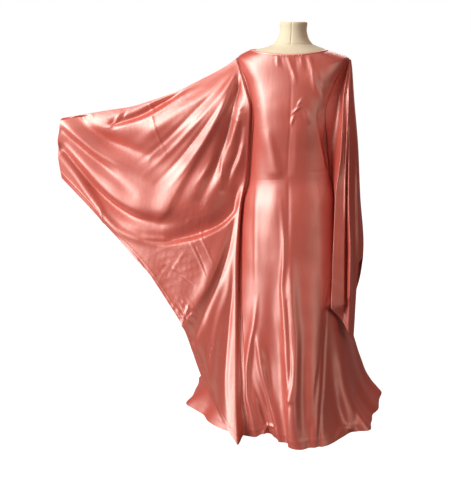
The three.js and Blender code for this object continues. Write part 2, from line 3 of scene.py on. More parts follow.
import bpy
import numpy as np
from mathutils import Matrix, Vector


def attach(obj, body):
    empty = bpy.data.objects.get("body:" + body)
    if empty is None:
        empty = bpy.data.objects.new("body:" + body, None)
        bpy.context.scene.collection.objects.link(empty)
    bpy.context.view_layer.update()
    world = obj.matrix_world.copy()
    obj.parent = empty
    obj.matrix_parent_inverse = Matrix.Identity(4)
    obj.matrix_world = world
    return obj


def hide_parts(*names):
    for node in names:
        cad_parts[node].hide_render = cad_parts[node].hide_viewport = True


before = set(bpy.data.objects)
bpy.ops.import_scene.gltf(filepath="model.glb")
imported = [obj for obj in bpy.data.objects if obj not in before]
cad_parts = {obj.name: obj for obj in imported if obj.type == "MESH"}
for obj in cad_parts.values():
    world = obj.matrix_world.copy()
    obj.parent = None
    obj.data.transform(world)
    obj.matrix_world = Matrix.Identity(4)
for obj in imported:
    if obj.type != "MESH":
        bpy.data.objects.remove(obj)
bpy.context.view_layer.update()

# All sizes below are in millimetres. The front faces -Y and the form's axis is x = y = 0.
MM = 0.001
CLOTH = 0.7
# A sleeve's sewn edge: how far it lies off the body, and how wide it lies on it
SEAM_OUT = 1.7
SEAM_LAP = 2.0

# Body of the garment: height, half width, half depth in front and behind,
# how much lower the front and back of the ring lie, and the shift to the side
BODY_COLUMNS = ("h", "side", "front", "back", "front_dip", "back_dip", "shift")
BODY_ROWS = (
    (0, 375, 345, 300, 0, 0, 0),
    (50, 330, 334, 290, 0, 0, 0),
    (110, 297, 317, 276, 0, 0, 0),
    (277, 250, 258, 232, 0, 0, 0),
    (451, 218, 208, 192, 0, 0, 0),
    (634, 192, 166, 158, 0, 0, 0),
    (820, 172, 134, 130, 0, 0, 0),
    (922, 149, 115, 102, 0, 0, 0),
    (1010, 145, 117, 104, 0, 0, 0),
    (1112, 150, 126, 109, 0, 0, 0),
    (1165, 153, 125, 111, 0, 0, 0),
    (1262, 168, 113, 112, 24, 18, 0),
    (1341, 195, 100, 104, 42, 32, 0),
    (1356, 167, 95, 92, 28, 18, -7),
    (1367, 134, 89, 78, 13, 5, -14),
)
SECTION_POWER = 2.25
# Steps, in degrees and in height, over which the outward direction is measured
TURN_STEP = 0.5
LEVEL_STEP = 2
WAIST = 922
WAIST_TILT = 18
TILT_TOP = 1100
TILT_LOW = 640
UNDERARM = 1112
SHOULDER = 1341
NECK = 1367
# Seams: gap at the waist and at the sides, and how deep and wide the waist seam is drawn in
WAIST_GAP = 0.1
SIDE_GAP = 0.1
WAIST_DIP = 0.12
WAIST_SOFT = 2.5
# Stitched ridge above a hem: its distance from the edge, how far it stands out, its half width
HEM = {"deep": 26, "stands": 0.9, "soft": 4}

ARMHOLE_COLUMNS = ("h", "angle")
ARMHOLE_ROWS = ((1112, 90), (1126, 70), (1165, 58), (1262, 67), (1310, 78), (1341, 90))

# Skirt folds: turn at the waist and at the hem, half width, depth at the hem, height where it fades out
SKIRT_FOLDS = (
    (-60, -52, 6, -14, 110),
    (-72, -69, 7, 28, 110),
    (-16, -4, 6, -14, 860),
    (4, 12, 5, 40, 860),
    (24, 23, 11, 40, 640),
    (45, 46, 6, -12, 640),
    (58, 56, 5, 24, 200),
    (76, 74, 6, -14, 200),
    (112, 110, 9, 26, 700),
    (134, 133, 8, -24, 760),
    (158, 156, 9, 30, 840),
    (182, 181, 8, -22, 800),
    (206, 207, 9, 32, 820),
    (232, 232, 9, -24, 700),
    (252, 250, 8, 24, 640),
)
FOLD_SPREAD = 1.5
HEM_LIFT = {"turn": -6, "width": 4, "rise": 15, "height": 120}

# Where the sleeve layers are sewn to the body: height and turn of the front and of the back seam
SEAM_COLUMNS = ("h", "front", "back")
SEAM_ROWS = (
    (0, 17, 23),
    (60, 20, 33),
    (111, 24, 43),
    (200, 28, 62),
    (277, 33, 75),
    (451, 45, 92),
    (634, 60, 100),
    (820, 75, 104),
    (904, 77, 104),
    (1049, 66, 112),
    (1165, 55, 125),
    (1262, 64, 116),
    (1310, 75, 105),
    (1341, 87, 93),
)

# Edges of the raised sleeve, as points from the body outwards or from the top down
TOP_EDGE = (
    (-205, -1, 1335), (-243, -3, 1308), (-338, -10, 1258), (-431, -17, 1214), (-525, -24, 1181),
    (-602, -30, 1158), (-679, -36, 1146), (-795, -45, 1126), (-867, -50, 1113),
)
LOWER_EDGE = (
    (-128, -404, 2), (-195, -350, 65), (-247, -310, 161), (-291, -280, 257), (-354, -245, 365),
    (-439, -205, 472), (-502, -180, 550), (-587, -150, 627), (-673, -120, 705), (-810, -80, 824),
    (-880, -60, 884),
)
CUFF_EDGE = ((-867, -50, 1113), (-878, -54, 1040), (-882, -58, 960), (-880, -60, 884))
FRONT_FOLD_EDGE = (
    (-205, -1, 1335), (-168, -58, 1250), (-142, -82, 1165), (-150, -60, 1049), (-163, -38, 904),
    (-180, -58, 800), (-185, -112, 642), (-176, -170, 465), (-164, -238, 289), (-146, -332, 110),
    (-128, -404, 2),
)
BACK_FOLD_EDGE = (
    (-205, 1, 1335), (-190, 66, 1250), (-166, 84, 1165), (-170, 70, 1049), (-184, 50, 904),
    (-206, 50, 780), (-232, 30, 600), (-272, -50, 420), (-296, -165, 260), (-270, -240, 180),
    (-226, -304, 110), (-134, -396, 10),
)
# How far each of its layers swells out near the body and at the cuff, and lies out where sewn
SLEEVE_BELLY = 30
CUFF_BELLY = 17
SEWN_OUT = 0.75
BELLY_POWER = 0.8
BELLY_RUN = 0.2
# How its rows crowd towards the body, and the shares over which creases fade in from each edge
WING = {
    "crowd": 1.1, "root": 0.04, "top": 0.03, "tip": 0.9, "tip_run": 0.1, "tip_left": 0.3,
    "tip_narrow": 5, "edge": 0.12,
}

# Hanging sleeve: x and y of each long fold at each height
HANG_LEVELS = (1334, 1305, 1200, 1030, 850, 645, 459, 320)
HANG_FRONT_X = (
    (201, 198, 188, 189, 176, 176, 178, 178),
    (202, 202, 198, 201, 206, 219, 221, 220),
    (203, 206, 208, 215, 222, 239, 242, 243),
    (204, 208, 213, 227, 238, 250, 257, 262),
    (205, 210, 220, 240, 254, 268, 272, 274),
    (206, 211, 223, 245, 261, 283, 284, 284),
)
HANG_FRONT_Y = (
    (-9, -27, -72, -102, -118, -138, -167, -190),
    (-8, -23, -58, -82, -90, -103, -124, -145),
    (-7, -22, -63, -96, -112, -127, -139, -150),
    (-5, -15, -46, -57, -66, -80, -95, -111),
    (-3, -10, -30, -44, -50, -54, -62, -70),
    (-0.5, -0.5, -0.5, -0.5, -0.5, -7.5, -13.5, -19.5),
)
HANG_BACK_X = (
    (206, 211, 223, 245, 261, 283, 284, 284),
    (205, 210, 220, 239, 256, 274, 278, 282),
    (204, 207, 211, 220, 232, 248, 258, 266),
    (203, 203, 200, 200, 204, 226, 246, 262),
    (202, 200, 190, 186, 186, 208, 232, 252),
)
HANG_BACK_Y = (
    (0.5, 0.5, 0.5, 0.5, 0.5, -6.5, -12.5, -18.5),
    (3, 12, 38, 50, 58, 62, 66, 70),
    (5, 18, 56, 62, 68, 72, 84, 92),
    (7, 24, 78, 92, 98, 112, 128, 140),
    (9, 28, 82, 88, 84, 92, 104, 118),
)
HANG_FRONT_END = (459, 397, 362, 318, 604, 612)
HANG_BACK_END = (612, 520, 430, 392, 400)
HANG_SEAM_END = {"front": 470, "back": 410}
# How much of the front's creases its back layer has, and the shares over which they fade in
HANG = {"back_share": -0.6, "top": 0.1, "edge": 0.15}

# How a sleeve's row bends from its seam into the sheet: points, pull and depth of the hollow
BRIDGES = {
    "raised front": (9, 0.6, 8),
    "raised back": (9, 0.6, 0),
    "hanging front": (14, 0.3, 42),
    "hanging back": (9, 0.6, 0),
}
HOLLOW_SHARE = 0.9
HOLLOW_SKEW = 1.5

# Gentle unevenness of each cloth: size and height of its waves
RIPPLES = {"bodice": (90, 0.5), "skirt": (110, 0.9), "raised": (120, 0.9), "hanging": (80, 0.6)}
RIPPLE_WAVES = 9
RIPPLE_SPREAD = (0.6, 1.7)

# Heights where the rows of a panel begin to stand closer or wider
BODICE_SPLIT = 1100
SKIRT_SPLIT = 200
# Heights at which a panel's creases run out: low end and its run, high end and its run
BODICE_ENDS = (WAIST - 2, 34, NECK + 1, 9)
SKIRT_ENDS = (-60, 18, WAIST + 2, 40)
# Degrees beside a sleeve's seam and beside a side seam over which they run out
SEAM_CALM = 3.5
SIDE_CALM = 5

# Creases wider than this are softened, in so many passes
BROAD = 58
SOFT_PASSES = 50
# A crease reaches so many widths away, and has so many steps between two points of its line
CREASE_REACH = 3
CREASE_STEPS = 5

# Creases given one by one, seen from the front: the line as x and z, the depth at its start, middle
# and end (+ stands out), and its width on the left and on the right of someone following the line
WING_CREASES = (
    # ridge beside the broad valley
    (
        ((-182, 1319), (-207, 1264), (-242, 1183), (-290, 1083), (-343, 991), (-393, 907), (-448, 792)),
        (3, 13, 9), (17, 50),
    ),
    # broad valley from the shoulder
    (
        ((-182, 1285), (-192, 1212), (-209, 1142), (-227, 1063), (-260, 971), (-294, 892), (-329, 824)),
        (-6, -24, -7), (23, 20),
    ),
    # pale ridge from the shoulder
    (((-192, 1312), (-294, 1221), (-428, 1134), (-591, 1006)), (0, 5, 1), (18, 20)),
    # ridge beside the armhole
    (((-177, 1195), (-191, 1117), (-216, 1045), (-242, 986), (-253, 920)), (2, 12, 4), (15, 18)),
    # sharp crease in that ridge
    (((-242, 1015), (-249, 960), (-249, 868)), (0, 3, 1), (5, 5)),
    # trough beside the armhole
    (((-172, 1096), (-190, 999), (-216, 936), (-242, 861)), (-5, -11, -4), (12, 13)),
    # last ridge above the roll
    (((-175, 1017), (-190, 970), (-216, 906)), (3, 7, 2), (12, 12)),
    # folded band under the top edge
    (
        ((-352, 1248), (-404, 1223), (-453, 1187), (-514, 1150), (-568, 1124), (-658, 1096)),
        (-3, -26, -11), (9, 17),
    ),
    # ridge below that band
    (((-305, 1249), (-405, 1202), (-511, 1132), (-565, 1102)), (0, 4, 0), (12, 14)),
    # upper swag trough
    (((-820, 1137), (-760, 1075), (-695, 1032), (-610, 1005), (-522, 978)), (-10, -22, -3), (30, 28)),
    # upper swag
    (((-862, 1106), (-763, 1027), (-678, 973), (-574, 920), (-517, 895)), (9, 14, 2), (24, 20)),
    # second swag trough
    (((-864, 1062), (-811, 1018), (-749, 967), (-661, 906), (-581, 847)), (-8, -14, -2), (18, 19)),
    # main swag
    (
        ((-866, 1024), (-790, 951), (-710, 881), (-625, 819), (-550, 788), (-436, 797), (-344, 834),
         (-257, 897), (-190, 970)),
        (10, 26, 10), (100, 38),
    ),
    # deep swag trough
    (
        ((-868, 998), (-792, 912), (-724, 838), (-645, 780), (-558, 746), (-471, 735), (-401, 746)),
        (-17, -30, -3), (24, 24),
    ),
    # bright narrow swag
    (
        ((-869, 979), (-801, 893), (-733, 803), (-686, 747), (-627, 703), (-538, 678), (-462, 675)),
        (8, 13, 6), (10, 20),
    ),
    # shadow fold
    (
        ((-534, 678), (-462, 667), (-395, 679), (-326, 698), (-254, 731), (-213, 770), (-181, 826)),
        (-6, -30, -18), (42, 8),
    ),
    # ridge down to the hem
    (
        ((-206, 788), (-230, 703), (-246, 629), (-281, 531), (-340, 414), (-374, 319)),
        (0, 10, 5), (14, 30),
    ),
    # trough beside it
    (((-187, 775), (-209, 668), (-236, 568), (-274, 462), (-325, 326)), (-3, -10, -4), (14, 14)),
    # long pale ridge
    (((-193, 633), (-206, 505), (-232, 412), (-243, 301), (-242, 210), (-220, 99)), (0, 6, 2), (16, 16)),
    # long trough
    (((-181, 724), (-187, 507), (-198, 362), (-199, 218), (-172, 45)), (-3, -8, -3), (10, 12)),
    # bright tube
    (((-176, 779), (-177, 616), (-170, 401), (-154, 188), (-140, 12)), (3, 8, 3), (7, 7)),
    # pucker by the cuff
    (((-713, 792), (-703, 734), (-688, 688)), (0, 5, 0), (6, 6)),
    # pucker on the hem
    (((-555, 607), (-567, 571)), (1, 3, 1), (4, 4)),
    # piecing seam
    (((-529, 1178), (-497, 1092), (-479, 1034), (-461, 991)), (2.8, 2.8, 1), (3.6, 3.6)),
    # slanting crease
    (((-479, 1020), (-510, 986), (-542, 951)), (0, 0.9, 0), (4, 4)),
    # packing crease 1
    (((-449, 581), (-380, 549)), (-1.5, -2, -0.5), (3, 3)),
    # packing crease 2
    (((-449, 581), (-497, 496)), (-2, -2.4, -1), (3, 3)),
    # packing crease 3
    (((-326, 702), (-293, 645), (-264, 588)), (2, 2.4, 0.5), (3, 3)),
    # packing crease 4
    (((-340, 660), (-281, 539)), (-1, -2, -0.5), (3, 3)),
    # crumple 1
    (((-360, 408), (-398, 441)), (3, 3, 0), (4, 3)),
    # crumple 2
    (((-360, 408), (-321, 439)), (-3, -3, 0), (3, 4)),
    # crumple 3
    (((-360, 408), (-371, 357)), (3, 4, 0), (4, 4)),
    # crumple 4
    (((-360, 408), (-323, 386)), (2, 3, 0), (3, 3)),
    # crumple 5
    (((-360, 408), (-404, 387)), (-2, -3, 0), (4, 3)),
    # crumple 6
    (((-360, 408), (-346, 458)), (2, 3, 0), (3, 3)),
    # cuff puckers 1
    (((-633, 1144), (-658, 1100)), (1, 3, 0), (4, 4)),
    # cuff puckers 2
    (((-610, 1152), (-634, 1111)), (-1, -3, 0), (4, 4)),
    # cuff puckers 3
    (((-634, 1122), (-682, 1077)), (1, 2.5, 0), (4, 4)),
    # cuff puckers 4
    (((-797, 1126), (-775, 1105)), (-1, -3, -1), (4, 4)),
    # cuff puckers 5
    (((-750, 1134), (-743, 1113)), (1, 3, 1), (4, 4)),
    # top puckers 1
    (((-386, 1216), (-412, 1180)), (0.5, 2, 0.5), (5, 5)),
    # top puckers 2
    (((-401, 1220), (-427, 1187)), (-0.5, -2, -0.5), (5, 5)),
    # wedge ridge at the shoulder
    (((-182, 1319), (-210, 1257), (-235, 1198), (-264, 1137)), (5, 9, 0), (13, 20)),
    # wedge valley at the shoulder
    (((-178, 1278), (-192, 1219), (-206, 1159)), (-6, -9, 0), (7, 15)),
    # armhole wrinkle 1
    (((-209, 1166), (-188, 1163), (-166, 1167)), (0, 3, 1), (4, 4)),
    # armhole wrinkle 2
    (((-209, 1128), (-187, 1121), (-165, 1111)), (0, 3, 1), (4, 4)),
    # fine fold
    (((-264, 1015), (-306, 933), (-355, 864)), (0, 3, 0), (9, 8)),
    # radiating trough 1
    (((-196, 1299), (-272, 1222), (-376, 1120), (-483, 1023), (-593, 938)), (-1, -4, 0), (9, 10)),
    # radiating ridge 1
    (((-192, 1295), (-257, 1204), (-346, 1100), (-445, 999), (-555, 902)), (1.5, 4.5, 0), (9, 10)),
    # radiating trough 2
    (((-189, 1288), (-242, 1187), (-320, 1079), (-407, 974), (-510, 865)), (-2, -5, 0), (8, 9)),
    # radiating ridge 2
    (((-185, 1278), (-228, 1173), (-294, 1065), (-373, 956), (-463, 844)), (1.5, 4.5, 0), (8, 10)),
    # packing crease 5
    (((-360, 677), (-319, 606), (-281, 539)), (0.5, 2.2, 0.5), (4, 5)),
    # packing crease 6
    (((-489, 505), (-469, 541), (-449, 573)), (1, 2.4, 1), (4, 4)),
    # packing crease 7
    (((-449, 573), (-389, 552), (-336, 515)), (-1, -2.2, -0.5), (4, 4)),
    # packing crease 8
    (((-587, 636), (-534, 582), (-514, 545)), (0.5, 2.2, 0.5), (4, 5)),
    # packing crease 9
    (((-375, 639), (-405, 592), (-436, 533)), (0.5, 1.8, 0.5), (4, 4)),
)
BODICE_CREASES = (
    # gather 1
    (((-45, 1348), (-40, 1309)), (2.5, 2, 0), (5, 5)),
    # gather 2
    (((-6, 1342), (5, 1316), (19, 1283), (25, 1249)), (2.5, 3, 0), (6, 8)),
    # gather 3
    (((38, 1346), (45, 1309)), (2.5, 2, 0), (5, 5)),
    # gather 4
    (((64, 1346), (77, 1313), (86, 1269), (90, 1229)), (2.5, 4, 0.5), (8, 8)),
    # gather 5
    (((87, 1329), (113, 1262), (124, 1228)), (0.5, 2.5, 0.5), (9, 9)),
    # trough between gathers 1
    (((18, 1349), (27, 1296)), (-1, -1.5, 0), (6, 6)),
    # trough between gathers 2
    (((54, 1346), (61, 1293)), (-1, -1.5, 0), (5, 5)),
    # trough between gathers 3
    (((-33, 1349), (-18, 1302)), (-1, -1.2, 0), (5, 5)),
    # centre crease
    (((4, 1296), (9, 1215), (9, 1102), (4, 1027), (2, 926)), (-0.3, -1.1, -0.9), (5, 5)),
    # short wrinkle 1
    (((52, 1212), (41, 1195), (31, 1177)), (0.5, 3, 0.5), (4, 5)),
    # short wrinkle 2
    (((48, 1184), (31, 1170), (16, 1156)), (0.5, 3.4, 0.5), (4, 5)),
    # patch right of the centre
    (((55, 1175), (66, 1148), (77, 1116)), (0, 3.5, 0), (9, 9)),
    # streak beside the left armhole
    (
        ((-163, 1326), (-143, 1289), (-111, 1242), (-92, 1178), (-84, 1123), (-64, 1023), (-34, 922)),
        (0, 4.5, 3), (26, 34),
    ),
    # dip inside that armhole
    (((-136, 1166), (-136, 1105), (-148, 1027), (-152, 953)), (-3, -8, -2), (10, 9)),
    # small pull at the underarm
    (((-127, 1161), (-102, 1181)), (0.8, 1.2, 0), (4, 4)),
    # right side dip
    (((106, 1146), (118, 1089), (133, 1021), (148, 937)), (-2, -12, -9), (30, 8)),
    # pull to the waist at the right
    (((47, 931), (95, 943), (145, 944)), (0, -2, -4), (6, 4)),
    # left bust fullness
    (((-66, 1241), (-61, 1187)), (0, 1, 0), (24, 24)),
    # right bust fullness
    (((78, 1283), (107, 1228), (128, 1179)), (2, 5, 0), (14, 16)),
    # light side of the centre crease
    (((32, 1134), (30, 1064), (28, 992), (25, 934)), (0, 1.5, 1), (14, 10)),
    # pale tongue at the right armhole
    (((126, 1159), (142, 1163), (156, 1133), (164, 1090)), (1, 6, 0), (6, 7)),
    # brown hollow left of the centre
    (((0, 1282), (3, 1185), (4, 1063), (2, 926)), (-0.3, -2.6, -2), (32, 38)),
    # pale band above the waist
    (((-74, 1102), (-54, 1024), (-27, 922)), (0, 6, 4), (16, 28)),
    # short wrinkle 3
    (((25, 1151), (17, 1134), (12, 1113)), (0.5, 3, 0.5), (4, 5)),
)
SKIRT_CREASES = (
    # left front fold edge
    (((-112, 902), (-111, 785), (-105, 640), (-99, 515)), (2, 4, 1), (16, 10)),
    # ridge left of the centre
    (
        ((-18, 848), (-7, 756), (1, 688), (2, 620), (0, 552), (11, 466), (27, 326), (40, 233),
         (51, 165)),
        (1, 8, 8), (9, 10),
    ),
    # trough left of that ridge
    (((-36, 488), (-16, 383), (0, 279), (14, 177), (34, 75), (50, -45)), (0, -6, -5), (14, 18)),
    # ridge right of the centre
    (
        ((28, 599), (44, 468), (61, 327), (61, 233), (56, 145), (57, 58), (67, -24)),
        (1, 10, 14), (22, 9),
    ),
    # thin gap between the ridges
    (((21, 492), (33, 386), (46, 274), (52, 179)), (-2, -6, -1), (4, 4)),
    # low left ridge
    (
        ((-95, 516), (-98, 415), (-108, 317), (-114, 228), (-109, 153), (-89, 88), (-66, -9)),
        (0, 14, 6), (9, 15),
    ),
    # low middle ridge
    (((-93, 402), (-76, 305), (-56, 222), (-29, 149), (2, 72), (35, -30)), (0, 16, 12), (16, 10)),
    # dark hollow between them
    (((-97, 204), (-74, 150), (-52, 95), (-26, 26), (-5, -51)), (0, -13, -7), (9, 9)),
    # pale front panel
    (((-45, 908), (-41, 826), (-32, 738), (-26, 649)), (0.6, 3.2, 1), (20, 34)),
    # centre line
    (((5, 912), (11, 796), (16, 671)), (-1.5, -2, -1), (8, 6)),
    # right trough
    (((152, 519), (162, 323), (163, 180), (163, 2)), (-1, -6, -5), (5, 9)),
    # right broad fold
    (((117, 596), (128, 382), (136, 175), (138, 4)), (0, 4, 4), (26, 26)),
    # right middle trough
    (((76, 492), (91, 281), (102, 75), (103, -19)), (0, -1, -1), (20, 20)),
    # outer right ridge
    (((198, 363), (220, 218), (245, 95), (265, 21)), (0, 6, 7), (18, 16)),
    # outer right trough
    (((238, 269), (271, 137), (295, 42)), (0, -4, -5), (12, 12)),
    # slanting pull
    (((-77, 316), (-55, 273), (-29, 221)), (0, 3, 0), (4, 4)),
    # hem loop
    (((-47, -31), (-40, 21), (-23, 45), (-1, 44), (15, 16), (24, -23)), (2, 5, 2), (5, 5)),
    # hollow in the hem loop
    (((-24, -36), (-17, 5), (-3, 7), (5, -33)), (-2, -5, -2), (5, 5)),
    # turned hem at the right
    (((216, 2), (243, 24), (276, 12), (310, -18)), (1, 5, 1), (6, 7)),
    # curl at the right tip
    (((312, 112), (344, 86), (373, 56)), (1, 5, 3), (6, 8)),
)
HANG_CREASES = (
    # front fold edge
    (
        ((197, 1297), (197, 1217), (191, 1117), (181, 1030), (173, 947), (167, 823), (168, 714),
         (171, 545)),
        (2, 5, 3), (8, 8),
    ),
    # pale flat of the first fold
    (
        ((200, 1271), (204, 1169), (204, 1065), (205, 941), (209, 814), (213, 663), (220, 469)),
        (3, 33, 28), (5, 32),
    ),
    # second fold
    (((203, 1302), (212, 1201), (224, 1062), (230, 881), (236, 694), (245, 500)), (2, 18, 14), (8, 15)),
    # third fold
    (((239, 1023), (253, 878), (263, 747), (271, 652)), (0, 7, 5), (8, 12)),
    # short crease on the second fold
    (((218, 701), (232, 704), (247, 702)), (0, 2.5, 0), (4, 4)),
    # lower short crease
    (((225, 632), (235, 634), (247, 631)), (0, 2.5, 0), (4, 4)),
)
# The same for the sides that face away, seen from the front through the garment
BACK_BODICE_CREASES = (
    # left shoulder fold
    (((-60, 1340), (-50, 1270), (-34, 1180)), (2, 4, 1), (9, 8)),
    # right shoulder fold
    (((44, 1342), (40, 1262), (30, 1150)), (2, 5, 1), (10, 8)),
    # centre trough
    (((-4, 1330), (4, 1200), (-3, 1060), (2, 930)), (-1, -4, -3), (14, 12)),
    # left fold to the waist
    (((-118, 1240), (-96, 1130), (-70, 1010), (-64, 930)), (2, 6, 3), (16, 12)),
    # right fold to the waist
    (((120, 1250), (100, 1120), (76, 1000), (60, 930)), (2, 5, 4), (12, 18)),
    # upper wrinkle
    (((-30, 1060), (10, 1030), (52, 1040)), (0, 1.5, 0), (13, 15)),
    # lower wrinkle
    (((-60, 985), (-10, 962), (40, 972)), (0, 1.5, 0), (12, 14)),
)
BACK_SKIRT_CREASES = (
    # left ridge
    (((-100, 900), (-128, 700), (-150, 430), (-200, 120), (-225, -30)), (2, 8, 6), (16, 12)),
    # left trough
    (((-60, 905), (-74, 660), (-96, 360), (-120, 40), (-125, -30)), (0, -8, -7), (11, 14)),
    # ridge left of the centre
    (((-26, 900), (-30, 640), (-40, 340), (-44, 20), (-45, -30)), (2, 9, 7), (10, 13)),
    # centre trough
    (((10, 890), (14, 640), (10, 300), (22, 20), (23, -30)), (0, -7, -8), (12, 10)),
    # ridge right of the centre
    (((52, 905), (66, 640), (76, 330), (88, 20), (90, -30)), (1, 8, 7), (12, 15)),
    # right trough
    (((90, 895), (112, 640), (134, 330), (170, 40), (180, -30)), (0, -8, -6), (11, 12)),
    # right ridge
    (((126, 880), (150, 640), (182, 340), (232, 60), (250, -30)), (2, 7, 6), (14, 11)),
    # short centre ridge
    (((-8, 560), (-16, 420), (-4, 250)), (0, 5, 0), (7, 8)),
    # short right ridge
    (((96, 470), (104, 300), (110, 160)), (0, 5, 1), (8, 6)),
    # short left ridge
    (((-140, 380), (-170, 230), (-214, 90), (-236, -10)), (0, 5, 2), (8, 9)),
)
# Crumpled patches: x, z, reach, height and size of the crumples
WING_CRUMPLES = (
    # by the cuff's top
    (-655, 1105, 45, 0.8, 20),
    # under the top edge
    (-395, 1190, 40, 0.8, 18),
    # on the lower edge
    (-380, 410, 60, 2.8, 15),
    # patch of packing creases
    (-420, 590, 120, 0.9, 22),
    # below the roll
    (-330, 760, 70, 1.4, 18),
    # on the long folds
    (-245, 290, 40, 1.6, 12),
    # beside the armhole
    (-175, 1130, 40, 1.4, 18),
)
CRUMPLE = {"waves": 7, "pace": (0.7, 1.8), "phase": 6, "bend": 0.6, "bend_pace": 0.37, "level": 0.25}
# The back layer's creases are the front's, moved and turned inwards
BACK_WING_SHIFT = {"x": 22, "z": -26, "share": -0.55}


# A smooth curve through rows of keys and values, which may differ from point to point
def curve(keys, values, at):
    at = np.asarray(at, float)
    keys = np.asarray(keys, float)
    values = np.asarray(values, float)
    spread = (-1,) + (1,) * at.ndim
    if values.ndim == 1:
        values = np.broadcast_to(values.reshape(spread), (len(keys),) + at.shape)
    step = np.diff(values, axis=0) / np.diff(keys).reshape(spread)
    before, after = step[:-1], step[1:]
    same = before * after > 0
    inner = np.where(same, 2 * before * after / np.where(same, before + after, 1), 0)
    slope = np.concatenate([step[:1], inner, step[-1:]])
    i = np.clip(np.searchsorted(keys, at) - 1, 0, len(keys) - 2)
    span = keys[i + 1] - keys[i]
    t = np.clip((at - keys[i]) / span, 0, 1)

    def pick(table, k):
        return np.take_along_axis(table, k[None], 0)[0]

    low = (2 * t**3 - 3 * t**2 + 1) * pick(values, i) + (t**3 - 2 * t**2 + t) * span * pick(slope, i)
    high = (3 * t**2 - 2 * t**3) * pick(values, i + 1) + (t**3 - t**2) * span * pick(slope, i + 1)
    return low + high


# A column of a table at given heights
def read(rows, columns, name, at):
    table = np.array(rows, float)
    return curve(table[:, 0], table[:, columns.index(name)], at)


def smooth(t):
    c = np.clip(t, 0, 1)
    return c * c * (3 - 2 * c)


def lerp(a, b, t):
    return a + (b - a) * t


def unit(v):
    return v / np.maximum(np.linalg.norm(v, axis=-1, keepdims=True), 1e-9)


# A point on a line of points, by share of its length
def along(points, t):
    points = np.array(points, float)
    runs = np.linalg.norm(np.diff(points, axis=0), axis=1)
    keys = np.concatenate([[0], np.cumsum(runs)]) / runs.sum()
    return np.stack([curve(keys, values, t) for values in points.T], -1)


# Degrees from one turn to another, the short way round
def turned(turn, centre):
    off = turn - centre
    return off - 360 * np.round(off / 360)


# How far the folds of the skirt stand out
def fold_height(turn, h):
    total = np.zeros(np.broadcast(turn, h).shape)
    for waist, hem, width, depth, fade in SKIRT_FOLDS:
        down = smooth((fade - h) / fade)
        off = turned(turn, lerp(waist, hem, np.clip(1 - h / WAIST, 0, 1)))
        wide = width * lerp(FOLD_SPREAD, 1, down)
        total = total + depth * down * np.exp(-((off / wide) ** 2))
    return total


def of_body(name, h):
    return read(BODY_ROWS, BODY_COLUMNS, name, h)


# Middle of the body cloth at a turn (degrees from the front centre) and a side height
def body(turn, h):
    turn, h = np.broadcast_arrays(np.asarray(turn, float), np.asarray(h, float))
    sin, cos = np.sin(np.radians(turn)), np.cos(np.radians(turn))
    side = of_body("side", h)
    front = cos > 0
    depth = np.where(front, of_body("front", h), of_body("back", h))
    dip = np.where(front, of_body("front_dip", h), of_body("back_dip", h))
    power = SECTION_POWER
    square = (np.abs(sin) ** power + np.abs(cos) ** power) ** (-1 / power)
    folded = np.where(h < WAIST, fold_height(turn, h), 0)
    grow = square * (1 + folded / np.hypot(side * sin, depth * cos))
    rise = smooth((TILT_TOP - h) / (TILT_TOP - WAIST))
    fall = smooth((h - TILT_LOW) / (WAIST - TILT_LOW))
    tilt = WAIST_TILT * sin * np.where(h > WAIST, rise, fall)
    lift = HEM_LIFT["rise"] * np.exp(-(((turn - HEM_LIFT["turn"]) / HEM_LIFT["width"]) ** 2))
    lift = lift * smooth(1 - h / HEM_LIFT["height"])
    return np.stack(
        [
            of_body("shift", h) + side * grow * sin,
            -depth * grow * cos,
            h - dip * cos * cos + tilt + lift,
        ],
        -1,
    )


# Outward direction there, level at the waist and below it
def body_out(turn, h):
    turn, h = np.broadcast_arrays(np.asarray(turn, float), np.asarray(h, float))
    inside = np.clip(h, LEVEL_STEP, NECK - LEVEL_STEP)
    across = body(turn + TURN_STEP, inside) - body(turn - TURN_STEP, inside)
    up = body(turn, inside + LEVEL_STEP) - body(turn, inside - LEVEL_STEP)
    n = np.cross(across, up)
    level = np.where(h <= WAIST, 1, 1 - smooth((h - WAIST) / (UNDERARM - WAIST)))
    n[..., 2] *= 1 - level
    return unit(n)


def softened(field, passes):
    for _ in range(passes):
        for axis in (0, 1):
            padded = np.concatenate(
                [np.take(field, [0], axis), field, np.take(field, [-1], axis)], axis
            )
            low = np.take(padded, range(field.shape[axis]), axis)
            high = np.take(padded, range(2, field.shape[axis] + 2), axis)
            field = 0.25 * low + 0.5 * field + 0.25 * high
    return field


# Height that a list of creases adds at points seen from the front
def relief(x, z, creases):
    sharp = [crease for crease in creases if max(crease[2]) < BROAD]
    broad = [crease for crease in creases if max(crease[2]) >= BROAD]
    return crease_sum(x, z, sharp) + softened(crease_sum(x, z, broad), SOFT_PASSES)


